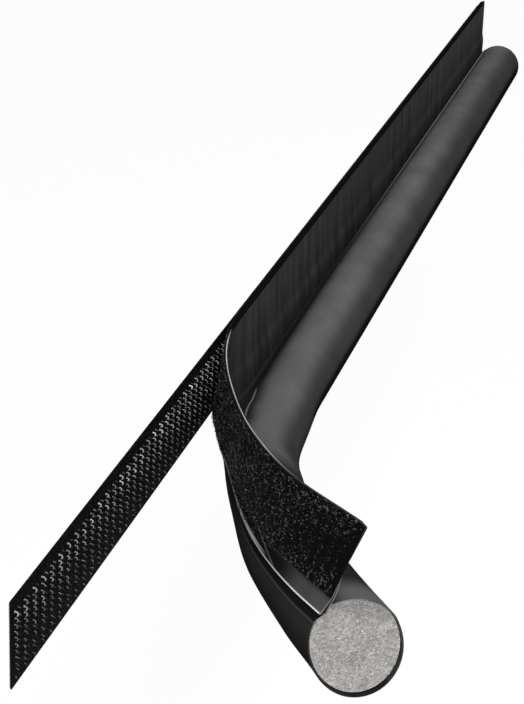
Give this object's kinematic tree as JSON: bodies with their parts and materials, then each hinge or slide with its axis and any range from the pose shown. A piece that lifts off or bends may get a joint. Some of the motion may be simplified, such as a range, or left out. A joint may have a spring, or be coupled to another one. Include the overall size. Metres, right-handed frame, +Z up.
{
  "type": "door seal strip",
  "caption": "Straight draught and sound seal strip for a door edge: a soft foam roll in a folded cover, hung by its flap on a hook-and-loop tape, with one end peeled open.",
  "frame": {"origin": "centre of the adhesive's back face, the face that is stuck to the door", "axes": "+X along the tape to the far end that stays attached, +Y into the door, +Z up from the roll to the flap's free edge"},
  "size_m": [0.914, 0.1329, 0.081],
  "materials": {
    "cover_sheet": "matte",
    "foam": "matte",
    "loop_pile": "matte",
    "hook_plastic": "satin",
    "adhesive": "satin"
  },
  "bodies": {
    "root": {"cover": "cover_sheet", "foam_core": "foam", "loop_tape": "loop_pile", "hook_tape": "hook_plastic", "adhesive_layer": "adhesive"}
  },
  "joints": []
}
